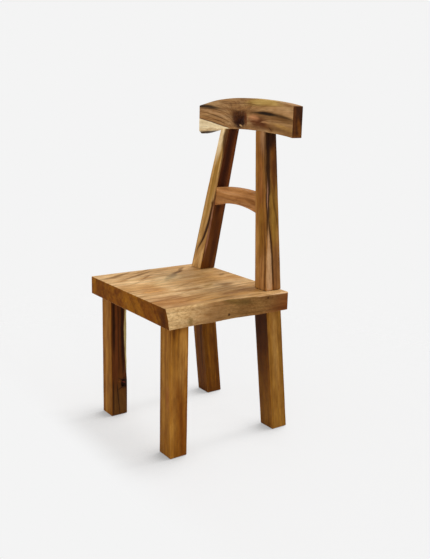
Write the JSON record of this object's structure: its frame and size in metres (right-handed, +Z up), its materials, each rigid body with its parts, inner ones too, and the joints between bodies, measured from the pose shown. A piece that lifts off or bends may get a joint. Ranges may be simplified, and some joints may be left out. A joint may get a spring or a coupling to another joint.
{
  "type": "slab-seat chair",
  "caption": "Rustic wooden side chair with a thick natural-edge slab seat, square legs, leaning tapered back posts and arched rails.",
  "frame": {"origin": "on the floor, under the middle of the chair's outer box", "axes": "+Z up; the chair faces -Y; the sitter's left hand, where the slab has its natural edge, is at +X"},
  "size_m": [0.47, 0.4568, 1.008],
  "materials": {
    "seat_wood": "oiled hardwood slab, satin",
    "leg_wood": "oiled hardwood, satin",
    "back_wood": "oiled hardwood, satin",
    "dowel_wood": "plain fluted dowel"
  },
  "bodies": {
    "root": {"seat_slab": "seat_wood", "top_rail": "back_wood", "middle_rail": "back_wood", "front_left_leg": "leg_wood", "rear_left_leg": "leg_wood", "left_back_post": "back_wood", "front_right_leg": "leg_wood", "rear_right_leg": "leg_wood", "right_back_post": "back_wood", "front_left_dowel_1": "dowel_wood", "front_left_dowel_2": "dowel_wood", "front_left_dowel_3": "dowel_wood", "front_left_dowel_4": "dowel_wood", "rear_left_dowel_1": "dowel_wood", "rear_left_dowel_2": "dowel_wood", "top_rail_left_dowel_1": "dowel_wood", "top_rail_left_dowel_2": "dowel_wood", "front_right_dowel_1": "dowel_wood", "front_right_dowel_2": "dowel_wood", "front_right_dowel_3": "dowel_wood", "front_right_dowel_4": "dowel_wood", "rear_right_dowel_1": "dowel_wood", "rear_right_dowel_2": "dowel_wood", "top_rail_right_dowel_1": "dowel_wood", "top_rail_right_dowel_2": "dowel_wood"}
  },
  "joints": []
}
